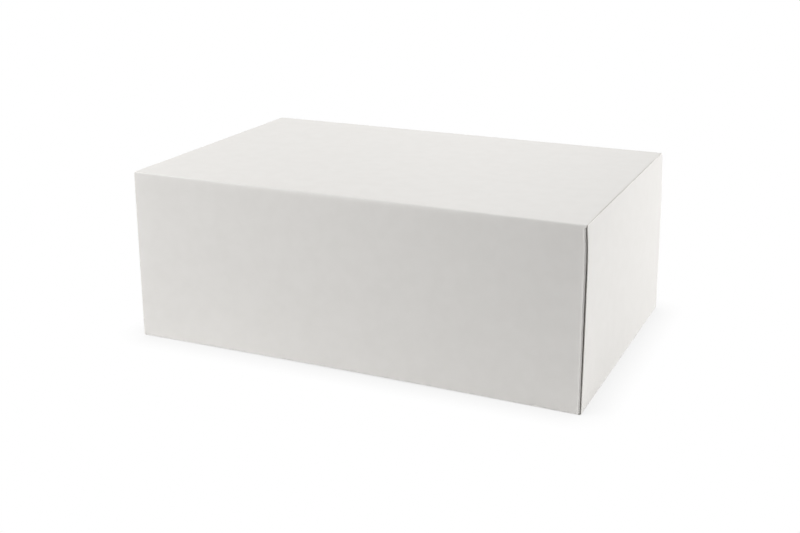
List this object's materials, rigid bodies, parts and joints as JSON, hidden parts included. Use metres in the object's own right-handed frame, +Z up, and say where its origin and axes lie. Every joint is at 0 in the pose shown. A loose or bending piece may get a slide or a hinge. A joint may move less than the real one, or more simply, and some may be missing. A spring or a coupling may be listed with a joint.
{
  "type": "pastry box",
  "caption": "Closed rectangular pastry box of folded white card with glued corners, a hinged lid and a tuck flap.",
  "frame": {"origin": "centre of the box's footprint, on the surface it stands on", "axes": "+X along the long hinge wall, -Y towards the hinge wall and +Y towards the opening wall, +Z up"},
  "size_m": [0.32, 0.205, 0.12],
  "materials": {
    "white_card": "matt coated white lining on a grey board back"
  },
  "bodies": {
    "tray": {"tray": "white_card"},
    "lid": {"lid": "white_card"},
    "tuck_flap": {"tuck_flap": "white_card"}
  },
  "joints": [
    {"name": "lid_hinge", "type": "hinge", "parent": "tray", "child": "lid", "pos_m": [0, -0.1015, 0.12], "axis": [1, 0, 0], "range_deg": [0, 120]},
    {"name": "tuck_flap_fold", "type": "hinge", "parent": "lid", "child": "tuck_flap", "pos_m": [0, 0.1013, 0.119], "axis": [1, 0, 0], "range_deg": [0, 60]}
  ],
  "couplings": [
    {"joint": "tuck_flap_fold", "follows": "lid_hinge", "ratio": 0.5}
  ]
}
